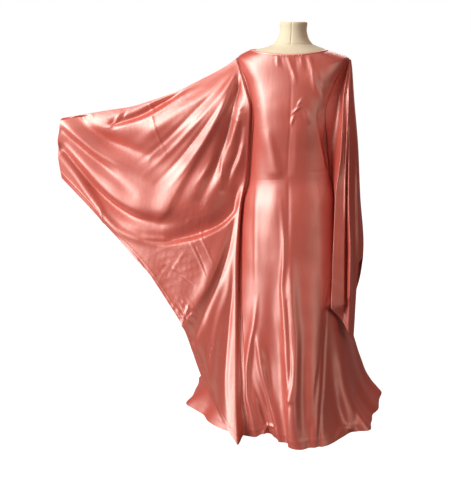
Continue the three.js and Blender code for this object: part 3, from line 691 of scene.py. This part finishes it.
def crease_sum(x, z, creases):
    total = np.zeros(x.shape)
    for points, depths, widths in creases:
        at = np.linspace(0, 1, CREASE_STEPS * (len(points) - 1) + 1)
        line = along(points, at)
        reach = CREASE_REACH * max(widths)
        low, high = line.min(0) - reach, line.max(0) + reach
        near = (x > low[0]) & (x < high[0]) & (z > low[1]) & (z < high[1])
        if not near.any():
            continue
        p = np.stack([x[near], z[near]], -1)
        best = np.full(len(p), 1e9)
        offset = np.zeros(len(p))
        share = np.zeros(len(p))
        for k in range(len(line) - 1):
            a, d = line[k], line[k + 1] - line[k]
            t = np.clip(((p - a) @ d) / (d @ d), 0, 1)
            away = p - a - t[:, None] * d
            far = np.hypot(away[:, 0], away[:, 1])
            here = far < best
            best = np.where(here, far, best)
            cross = (d[0] * (p[:, 1] - a[1]) - d[1] * (p[:, 0] - a[0])) / math.hypot(*d)
            offset = np.where(here, cross, offset)
            share = np.where(here, at[k] + t * (at[k + 1] - at[k]), share)
        left = smooth(0.5 + offset / (2 * min(widths)))
        wide = lerp(widths[1], widths[0], left)
        total[near] += curve((0, 0.5, 1), depths, share) * np.exp(-((best / wide) ** 2))
    return total


# Gentle unevenness from seeded waves, in millimetres
def ripple(points, seed, size, height):
    random = np.random.default_rng(seed)
    total = np.zeros(points.shape[:-1])
    for _ in range(RIPPLE_WAVES):
        way = random.normal(size=3)
        way = way / np.linalg.norm(way) * 2 * math.pi / (size * random.uniform(*RIPPLE_SPREAD))
        total = total + np.sin(points @ way + random.uniform(0, 2 * math.pi))
    return height * total / math.sqrt(RIPPLE_WAVES)


# Sharp small crumples inside soft round patches
def crumpled(x, z, patches, seed):
    random = np.random.default_rng(seed)
    total = np.zeros(x.shape)
    for px, pz, reach, height, size in patches:
        share = np.exp(-(((x - px) ** 2 + (z - pz) ** 2) / reach**2) ** 1.5)
        added = np.zeros(x.shape)
        for _ in range(CRUMPLE["waves"]):
            turn = random.uniform(0, math.pi)
            pace = math.pi / (size * random.uniform(*CRUMPLE["pace"]))
            beside = (x * math.sin(turn) - z * math.cos(turn)) * pace * CRUMPLE["bend_pace"]
            bend = CRUMPLE["bend"] * np.sin(beside + random.uniform(0, CRUMPLE["phase"]))
            ahead = (x * math.cos(turn) + z * math.sin(turn)) * pace
            wave = ahead + random.uniform(0, CRUMPLE["phase"]) + bend
            added = added + (1 - np.abs(np.sin(wave))) ** 2 - CRUMPLE["level"]
        total = total + height * share * added / math.sqrt(CRUMPLE["waves"])
    return total


# A smooth sheet through a grid of points, sharp where it ends
def mesh_from_grid(name, grid, closed=False):
    rows, count = grid.shape[:2]
    index = np.arange(rows * count).reshape(rows, count)
    if closed:
        index = np.concatenate([index, index[:, :1]], 1)
    quads = np.stack([index[:-1, :-1], index[:-1, 1:], index[1:, 1:], index[1:, :-1]], -1).reshape(-1, 4)
    mesh = bpy.data.meshes.new(name)
    mesh.from_pydata((grid.reshape(-1, 3) * MM).tolist(), [], quads.tolist())
    mesh.polygons.foreach_set("use_smooth", np.ones(len(quads), bool))
    mesh.update()
    edges = np.zeros(len(mesh.loops), np.int32)
    mesh.loops.foreach_get("edge_index", edges)
    at_border = np.bincount(edges, minlength=len(mesh.edges)) == 1
    mesh.edges.foreach_set("use_edge_sharp", at_border)
    obj = bpy.data.objects.new(name, mesh)
    bpy.context.scene.collection.objects.link(obj)
    return obj


# Thin satin shell that stands for a cloth solid
def cloth(node, grid):
    obj = mesh_from_grid(node + "_cloth", grid)
    thick = obj.modifiers.new("cloth", "SOLIDIFY")
    thick.thickness = CLOTH * MM
    thick.offset = 0
    obj.data.materials.append(SATIN)
    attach(obj, "root")
    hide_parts(node)
    return obj


# Materials
def new_material(name):
    material = bpy.data.materials.new(name)
    material.use_nodes = True
    tree = material.node_tree
    return material, tree, tree.nodes["Principled BSDF"]


def fill_in(node, values):
    for name, value in values.items():
        node.inputs[name].default_value = value


def noise(tree, vector, scale, detail, rough=0.5):
    node = tree.nodes.new("ShaderNodeTexNoise")
    fill_in(node, {"Scale": scale, "Detail": detail, "Roughness": rough})
    tree.links.new(vector, node.inputs["Vector"])
    return node.outputs["Fac"]


# Base colour that wanders between two tones
def toned(tree, shader, fac, tones, stops=(0, 1)):
    ramp = tree.nodes.new("ShaderNodeValToRGB")
    for element, stop, tone in zip(ramp.color_ramp.elements, stops, tones):
        element.position = stop
        element.color = (*tone, 1)
    tree.links.new(fac, ramp.inputs["Fac"])
    tree.links.new(ramp.outputs["Color"], shader.inputs["Base Color"])


def bump(tree, height, strength, distance):
    node = tree.nodes.new("ShaderNodeBump")
    fill_in(node, {"Strength": strength, "Distance": distance})
    tree.links.new(height, node.inputs["Height"])
    return node


def satin(name, base, deep, rough):
    material, tree, shader = new_material(name)
    place = tree.nodes.new("ShaderNodeTexCoord").outputs["Object"]
    toned(tree, shader, noise(tree, place, scale=9, detail=3), (deep, base), stops=(0.3, 0.7))
    drawn = tree.nodes.new("ShaderNodeMapping")
    fill_in(drawn, {"Scale": (1, 1, 0.22)})
    tree.links.new(place, drawn.inputs["Vector"])
    crinkle = noise(tree, drawn.outputs["Vector"], scale=90, detail=4, rough=0.55)
    weave = noise(tree, place, scale=1400, detail=1)
    small = bump(tree, weave, strength=0.12, distance=0.0002)
    large = bump(tree, crinkle, strength=0.25, distance=0.0016)
    tree.links.new(small.outputs["Normal"], large.inputs["Normal"])
    tree.links.new(large.outputs["Normal"], shader.inputs["Normal"])
    gloss = {"Roughness": rough, "IOR": 1.95, "Specular IOR Level": 1, "Specular Tint": (1, 0.83, 0.75, 1)}
    sheen = {"Sheen Weight": 0.12, "Sheen Roughness": 0.4, "Sheen Tint": (1, 0.75, 0.68, 1)}
    fill_in(shader, gloss | sheen)
    return material


def plain(name, base, dark, scale, rough, metal, depth):
    material, tree, shader = new_material(name)
    place = tree.nodes.new("ShaderNodeTexCoord").outputs["Object"]
    grain = noise(tree, place, scale, detail=3)
    toned(tree, shader, grain, (dark, base))
    raised = bump(tree, grain, strength=0.4, distance=depth)
    tree.links.new(raised.outputs["Normal"], shader.inputs["Normal"])
    fill_in(shader, {"Roughness": rough, "Metallic": metal})
    return material


SATIN = satin("coral satin", (0.49, 0.062, 0.038), (0.44, 0.052, 0.031), 0.46)
# Neck binding satin: paler than the dress satin; the paleness is a painted highlight along the neck edge
BINDING_PAINTED_HIGHLIGHT = satin("satin binding with painted highlight", (0.78, 0.27, 0.20), (0.72, 0.22, 0.16), 0.42)
LINEN = plain("linen cover", (0.68, 0.61, 0.44), (0.58, 0.51, 0.35), 900, 0.85, 0, 0.0003)
THREAD = plain("white thread", (0.86, 0.82, 0.78), (0.74, 0.68, 0.64), 1800, 0.7, 0, 0.0001)
STEEL = plain("brushed steel", (0.66, 0.67, 0.69), (0.56, 0.57, 0.59), 260, 0.34, 1, 0.00005)


# Front (half = 1) or back (half = -1) of the body's cloth: points, outward directions, turns
def panel(half, heights, turns, reach):
    share = np.linspace(-1, 1, turns + 1)[None, :]
    h = heights[:, None]
    wide = reach(heights)[:, None]
    turn = (0 if half > 0 else 180) + half * share * wide
    p = body(turn, h + 0 * share)
    n = body_out(turn, h + 0 * share)
    at_side = (np.abs(share) > 1 - 1e-9) & (wide > 90 - 1e-6)
    p[..., 1] = np.where(at_side, -half * SIDE_GAP / 2, p[..., 1])
    return p, n, np.where(turn > 180, 360 - turn, turn)


def armhole(h):
    inside = read(ARMHOLE_ROWS, ARMHOLE_COLUMNS, "angle", np.clip(h, UNDERARM, SHOULDER))
    return np.where((h <= UNDERARM) | (h >= SHOULDER), 90, inside)


def full(h):
    return np.full(h.shape, 90.0)


# Creases run out towards the ends of a panel, at the side seams and where a sleeve is sewn on
def edge_calm(turn, heights, half, ends):
    low, low_run, high, high_run = ends
    h = heights[:, None]
    layer = "front" if half > 0 else "back"
    away = np.abs(np.abs(turn) - read(SEAM_ROWS, SEAM_COLUMNS, layer, heights)[:, None])
    side = np.abs(np.abs(turn) - 90)
    ends_calm = smooth((h - low) / low_run) * smooth((high - h) / high_run)
    return ends_calm * smooth(away / SEAM_CALM) * smooth(side / SIDE_CALM)


def waist_seam(heights):
    return -WAIST_DIP * np.exp(-(((heights - WAIST) / WAIST_SOFT) ** 2))[:, None]


def hem_ridge(distance):
    return HEM["stands"] * np.exp(-(((distance - HEM["deep"]) / HEM["soft"]) ** 2))


def bodice(half, rows, turns, creases, seed):
    low = np.linspace(WAIST, BODICE_SPLIT, rows // 3)
    heights = np.concatenate([low, np.linspace(BODICE_SPLIT, NECK, rows)[1:]])
    p, n, turn = panel(half, heights, turns, armhole)
    calm = edge_calm(turn, heights, half, BODICE_ENDS)
    lift = relief(p[..., 0], p[..., 2], creases) + ripple(p, seed, *RIPPLES["bodice"])
    return p + n * (calm * lift + waist_seam(heights))[..., None]


def skirt(half, rows, turns, creases, seed):
    low = np.linspace(0, SKIRT_SPLIT, rows // 3)
    heights = np.concatenate([low, np.linspace(SKIRT_SPLIT, WAIST - WAIST_GAP, rows)[1:]])
    p, n, turn = panel(half, heights, turns, full)
    calm = edge_calm(turn, heights, half, SKIRT_ENDS)
    lift = relief(p[..., 0], p[..., 2], creases) + ripple(p, seed, *RIPPLES["skirt"])
    return p + n * (calm * lift + waist_seam(heights) + hem_ridge(heights)[:, None])[..., None]


# Sleeves: the row of a sleeve starts on its seam and bends smoothly into the sheet
def bridged(seam_start, seam_end, sheet, count, pull, hollow):
    tangent_a = unit(seam_end - seam_start)
    tangent_b = unit(sheet[:, 1] - sheet[:, 0])
    gap = np.linalg.norm(sheet[:, 0] - seam_end, axis=-1, keepdims=True)
    columns = [seam_start, seam_end]
    for t in np.arange(1, count) / count:
        a, b = 2 * t**3 - 3 * t**2 + 1, t**3 - 2 * t**2 + t
        c, d = 3 * t**2 - 2 * t**3, t**3 - t**2
        point = a * seam_end + b * pull * gap * tangent_a + c * sheet[:, 0] + d * pull * gap * tangent_b
        sunk = np.clip(gap * HOLLOW_SHARE, 0, hollow) * math.sin(math.pi * t**HOLLOW_SKEW)
        point[:, 1] += sunk[:, 0]
        columns.append(point)
    return np.concatenate([np.stack(columns, 1), sheet], 1)


# Where a sleeve layer's lap on the body begins and ends; side is -1 for the raised sleeve
def seam_line(side, layer, heights):
    turn = read(SEAM_ROWS, SEAM_COLUMNS, layer, heights)
    lap = -SEAM_LAP if layer == "front" else SEAM_LAP
    ends = []
    for angle in (turn + lap, turn):
        ends.append(body(side * angle, heights) + SEAM_OUT * body_out(side * angle, heights))
    return ends


# Sheet spanned between the four edges of the raised sleeve: u runs to the cuff, v runs down
def sleeve_sheet(layer, u, v):
    face = -1 if layer == "front" else 1
    root = FRONT_FOLD_EDGE if layer == "front" else BACK_FOLD_EDGE
    u3, v3 = u[..., None], v[..., None]
    corner = [along(TOP_EDGE, np.array(k, float)) for k in (0, 1)]
    foot = [along(LOWER_EDGE, np.array(k, float)) for k in (0, 1)]
    p = (1 - v3) * along(TOP_EDGE, u) + v3 * along(LOWER_EDGE, u)
    p = p + (1 - u3) * along(root, v) + u3 * along(CUFF_EDGE, v)
    p = p - (1 - u3) * (1 - v3) * corner[0] - u3 * (1 - v3) * corner[1]
    p = p - (1 - u3) * v3 * foot[0] - u3 * v3 * foot[1]
    swell = np.sin(math.pi * v) ** BELLY_POWER * smooth(u / BELLY_RUN)
    belly = swell * lerp(SLEEVE_BELLY, CUFF_BELLY, smooth(u))
    p[..., 1] += face * (belly + SEWN_OUT)
    return p


def raised_sleeve(layer, u_count, v_count, lowest, seed):
    u = np.linspace(0, 1, u_count)[None, :] ** WING["crowd"]
    tip = WING["tip"]
    v = np.concatenate([np.linspace(0, tip, v_count), np.linspace(tip, 1, v_count // 4)[1:]])
    heights = SHOULDER - v * (SHOULDER - lowest)
    grid_u, grid_v = np.broadcast_arrays(u, v[:, None])
    p = sleeve_sheet(layer, grid_u, grid_v)
    x, z = p[..., 0], p[..., 2]
    near_root = smooth(grid_u / WING["root"])
    near_tip = smooth((grid_v - tip) / WING["tip_run"]) * smooth(1 - WING["tip_narrow"] * grid_u)
    ends = smooth(grid_v / WING["top"]) * lerp(1, WING["tip_left"], near_tip)
    edge = WING["edge"]
    inside = smooth(grid_v / edge) * smooth((1 - grid_v) / edge) * smooth((1 - grid_u) / edge)
    lift = relief(x, z, WING_CREASES) + crumpled(x, z, WING_CRUMPLES, seed)
    if layer == "back":
        shift = BACK_WING_SHIFT
        own = shift["share"] * relief(x - shift["x"], z - shift["z"], WING_CREASES)
        lift = lerp(lift, own, inside)
    lift = lift + ripple(p, seed, *RIPPLES["raised"]) * inside
    p[..., 1] -= lift * near_root * ends
    face = -1 if layer == "front" else 1
    above_hem = np.linalg.norm(p - along(LOWER_EDGE, grid_u), axis=-1)
    p[..., 1] += face * hem_ridge(above_hem) * near_root
    start, end = seam_line(-1, layer, heights)
    return bridged(start, end, p, *BRIDGES["raised " + layer])


def hanging_sleeve(layer, u_count, v_count, seed):
    front = layer == "front"
    xs, ys = (HANG_FRONT_X, HANG_FRONT_Y) if front else (HANG_BACK_X, HANG_BACK_Y)
    ends = HANG_FRONT_END if front else HANG_BACK_END
    keys = np.linspace(0, 1, len(xs))
    u, v = np.broadcast_arrays(np.linspace(0, 1, u_count)[None, :], np.linspace(0, 1, v_count)[:, None])
    z = lerp(HANG_LEVELS[0], curve(keys, ends, u), v)
    levels = -np.array(HANG_LEVELS, float)
    x = curve(keys, np.stack([curve(levels, fold, -z) for fold in xs]), u)
    y = curve(keys, np.stack([curve(levels, fold, -z) for fold in ys]), u)
    p = np.stack([x, y, z], -1)
    hem = hem_ridge(z - curve(keys, ends, u))
    folds = (1 if front else HANG["back_share"]) * relief(x, z, HANG_CREASES)
    out = (1 if front else -1) * hem + folds + ripple(p, seed, *RIPPLES["hanging"])
    inward = 1 - u if front else u
    p[..., 1] -= out * smooth(v / HANG["top"]) * smooth(inward / HANG["edge"])
    heights = SHOULDER - v[:, 0] * (SHOULDER - HANG_SEAM_END[layer])
    start, end = seam_line(1, layer, heights)
    return bridged(start, end, p if front else p[:, ::-1], *BRIDGES["hanging " + layer])


bodice_front = cloth(
    "bodice_front", bodice(half=1, rows=110, turns=150, creases=BODICE_CREASES, seed=11)
)
bodice_back = cloth(
    "bodice_back", bodice(half=-1, rows=70, turns=90, creases=BACK_BODICE_CREASES, seed=12)
)
skirt_front = cloth("skirt_front", skirt(half=1, rows=130, turns=250, creases=SKIRT_CREASES, seed=13))
skirt_back = cloth(
    "skirt_back", skirt(half=-1, rows=90, turns=150, creases=BACK_SKIRT_CREASES, seed=14)
)
wing_front = cloth(
    "raised_sleeve_front", raised_sleeve("front", u_count=150, v_count=210, lowest=4, seed=15)
)
wing_back = cloth(
    "raised_sleeve_back", raised_sleeve("back", u_count=90, v_count=110, lowest=12, seed=16)
)
hang_front = cloth("hanging_sleeve_front", hanging_sleeve("front", u_count=70, v_count=200, seed=17))
hang_back = cloth("hanging_sleeve_back", hanging_sleeve("back", u_count=44, v_count=130, seed=18))

# Neck binding: its section as distances outwards and upwards from the neck edge
BINDING_STEP = 1.5
BINDING_PROFILE = (
    (1.0, -5.2), (1.9, -5.4), (2.4, -4.4), (2.5, -2.0), (2.3, 0.2), (1.5, 1.4), (0.2, 1.8), (-0.9, 1.4),
    (-1.3, 0.6), (-1.1, 0.2), (0.0, 0.45), (0.9, 0.2), (1.15, -1.0), (1.0, -3.0),
)


def binding():
    turn = np.arange(0, 360, BINDING_STEP)
    edge = body(turn, float(NECK))
    out = body_out(turn, float(NECK))
    up = unit(edge - body(turn, float(NECK - LEVEL_STEP)))
    rows = [edge + out * a + up * b for a, b in BINDING_PROFILE]
    rows.append(rows[0])
    return np.stack(rows)


neck_binding = mesh_from_grid("neck_binding_cloth", binding(), closed=True)
neck_binding.data.materials.append(BINDING_PAINTED_HIGHLIGHT)
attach(neck_binding, "root")
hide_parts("neck_binding")

# Tacking stitches under the front of the binding: their turns and the size and place of each
STITCH_TURNS = (-8, -4.5, -0.4, 9.8, 16.5, 20.9)
STITCH = {"long": 4.6, "wide": 1.4, "slant": 0.6, "out": 2.75, "down": 6.2}


def stitches():
    corners, faces = [], []
    for turn in STITCH_TURNS:
        level = float(NECK)
        edge, ahead = body(turn, level), body(turn + TURN_STEP, level)
        out, across = body_out(turn, level), unit(ahead - edge)
        up = unit(edge - body(turn, level - LEVEL_STEP))
        first = len(corners)
        for a in (-1, 1):
            for b in (-1, 1):
                for c in (-1, 1):
                    sideways = b * STITCH["wide"] / 2 + a * STITCH["slant"]
                    slant = up * a * STITCH["long"] / 2 + across * sideways
                    place = edge + out * (STITCH["out"] + c * STITCH["wide"] / 4) - up * STITCH["down"]
                    corners.append(tuple((place + slant) * MM))
        for face in ((0, 1, 3, 2), (4, 6, 7, 5), (0, 4, 5, 1), (2, 3, 7, 6), (0, 2, 6, 4), (1, 5, 7, 3)):
            faces.append(tuple(first + k for k in reversed(face)))
    mesh = bpy.data.meshes.new("neck_stitches")
    mesh.from_pydata(corners, [], faces)
    obj = bpy.data.objects.new("neck_stitches", mesh)
    bpy.context.scene.collection.objects.link(obj)
    return obj


neck_stitches = stitches()
neck_stitches.data.materials.append(THREAD)
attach(neck_stitches, "root")

# Dress form: height, half width, and half depth in front and behind, of its hips and of its neck
FORM_COLUMNS = ("z", "side", "front", "back")
HIP_ROWS = ((730, 150, 104, 104), (742, 156, 110, 110), (820, 158, 116, 114), (900, 143, 108, 96))
NECK_ROWS = (
    (1372, 108, 66, 62), (1380, 84, 60, 58), (1392, 64, 56, 55), (1412, 52, 50, 51),
    (1436, 47, 47, 48), (1457, 48.5, 48, 49), (1461, 46.5, 46, 47),
)
FORM_TURNS = 240
# Between hips and neck it follows the garment, this far inside it
FORM_LEVELS = np.concatenate([np.linspace(930, 1300, 24), np.linspace(1308, NECK, 12)])
FORM_INSET = {"low": 17, "high": 2.4, "from": 1240}
NECK_LEVELS = np.concatenate([np.linspace(1372, 1455, 50), [1457, 1459, 1460.4, 1461]])
NECK_Y = 2
NECK_TOP = {"z": 1461.2, "side": 42, "front": 41.5, "back": 42.5}
POINT = 0.3
# Sewn grooves of its cover: one round the foot of the neck, one up its front
NECK_SEAM = {"turn": -2, "width": 2.2, "depth": 2.2, "z": 1386, "height": 1.8}


def form_rings():
    turn = np.arange(FORM_TURNS) * 360 / FORM_TURNS
    sin, cos = np.sin(np.radians(turn)), np.cos(np.radians(turn))

    def oval(side, front, back, z, y):
        return np.stack([side * sin, y - np.where(cos > 0, front, back) * cos, 0 * sin + z], -1)

    rings = [oval(POINT, POINT, POINT, HIP_ROWS[0][0], 0)]
    rings += [oval(side, front, back, z, 0) for z, side, front, back in HIP_ROWS]
    for h in FORM_LEVELS:
        share = smooth((h - FORM_INSET["from"]) / (SHOULDER - FORM_INSET["from"]))
        inset = lerp(FORM_INSET["low"], FORM_INSET["high"], share)
        rings.append(body(turn, h) - inset * body_out(turn, h))
    for z in NECK_LEVELS:
        side, front, back = (read(NECK_ROWS, FORM_COLUMNS, name, z) for name in FORM_COLUMNS[1:])
        groove = NECK_SEAM["depth"] * math.exp(-(((z - NECK_SEAM["z"]) / NECK_SEAM["height"]) ** 2))
        off = turned(turn, NECK_SEAM["turn"])
        upright = NECK_SEAM["depth"] * np.exp(-((off / NECK_SEAM["width"]) ** 2)) * (z > NECK_SEAM["z"])
        sunk = groove + upright
        rings.append(oval(side - sunk, front - sunk, back - sunk, z, NECK_Y))
    rings.append(oval(NECK_TOP["side"], NECK_TOP["front"], NECK_TOP["back"], NECK_TOP["z"], NECK_Y))
    rings.append(oval(POINT, POINT, POINT, NECK_TOP["z"], NECK_Y))
    return np.stack(rings)


form = mesh_from_grid("form_cover", form_rings(), closed=True)
form.data.materials.append(LINEN)
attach(form, "root")
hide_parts("form_torso")

for name in ("form_pole", "form_base"):
    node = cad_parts[name]
    node.data.materials.clear()
    node.data.materials.append(STEEL)


# Floor, light and camera
FLOOR = {"radius": 14, "z": -0.0006}


# What the camera's rays meet, and what all other rays meet
def seen_as(tree, seen, other, output):
    ray = tree.nodes.new("ShaderNodeLightPath")
    pick = tree.nodes.new("ShaderNodeMixShader")
    tree.links.new(ray.outputs["Is Camera Ray"], pick.inputs["Fac"])
    tree.links.new(other, pick.inputs[1])
    tree.links.new(seen, pick.inputs[2])
    tree.links.new(pick.outputs["Shader"], tree.nodes[output].inputs["Surface"])


def pale_floor():
    place = (0, 0, FLOOR["z"])
    bpy.ops.mesh.primitive_circle_add(
        vertices=96, radius=FLOOR["radius"], fill_type="NGON", location=place
    )
    floor = bpy.context.object
    floor.name = "floor"
    material, tree, shader = new_material("pale floor")
    fill_in(shader, {"Base Color": (0.14, 0.14, 0.14, 1), "Roughness": 0.9})
    lit = tree.nodes.new("ShaderNodeEmission")
    both = tree.nodes.new("ShaderNodeAddShader")
    tree.links.new(shader.outputs["BSDF"], both.inputs[0])
    tree.links.new(lit.outputs["Emission"], both.inputs[1])
    seen_as(tree, both.outputs["Shader"], shader.outputs["BSDF"], "Material Output")
    floor.data.materials.append(material)
    return floor


def area(name, place, target, size, watts, tint=(1, 1, 1)):
    lamp = bpy.data.lights.new(name, "AREA")
    lamp.shape = "RECTANGLE"
    lamp.size, lamp.size_y = size
    lamp.energy = watts
    lamp.color = tint
    obj = bpy.data.objects.new(name, lamp)
    obj.location = place
    obj.rotation_euler = (Vector(target) - Vector(place)).to_track_quat("-Z", "Y").to_euler()
    bpy.context.scene.collection.objects.link(obj)
    return obj


pale_floor()
area("window", place=(-2.55, -2.0, 2.15), target=(-0.2, 0, 0.8), size=(1.6, 3.2), watts=186)
area("ceiling", place=(-0.3, -0.6, 3.6), target=(-0.1, 0, 0.8), size=(2.0, 2.0), watts=16)
area(
    "fill", place=(2.5, -1.7, 1.5), target=(0, 0, 0.8), size=(1.6, 2.2), watts=22, tint=(1, 0.8, 0.7)
)
area("rear", place=(0.4, 2.8, 2.4), target=(0, 0, 0.9), size=(2, 2), watts=60)

world = bpy.data.worlds.new("studio")
world.use_nodes = True
bpy.context.scene.world = world
tree = world.node_tree
back = tree.nodes["Background"]
fill_in(back, {"Color": (1, 0.45, 0.36, 1), "Strength": 0.14})
seen = tree.nodes.new("ShaderNodeBackground")
fill_in(seen, {"Color": (1, 1, 1, 1)})
seen_as(tree, seen.outputs["Background"], back.outputs["Background"], "World Output")
bpy.context.scene.view_settings.view_transform = "Standard"

# The photo's camera: focal length, place, and its angles down and to the left
CAMERA = {"lens": 53.606, "place": (0.2875, -2.7349, 1.45), "down": 16.795, "left": 10.265}
lens = bpy.data.cameras.new("camera")
lens.lens = CAMERA["lens"]
lens.sensor_width = 36
camera = bpy.data.objects.new("camera", lens)
camera.location = CAMERA["place"]
camera.rotation_euler = (math.radians(90 - CAMERA["down"]), 0, math.radians(CAMERA["left"]))
bpy.context.scene.collection.objects.link(camera)
bpy.context.scene.camera = camera
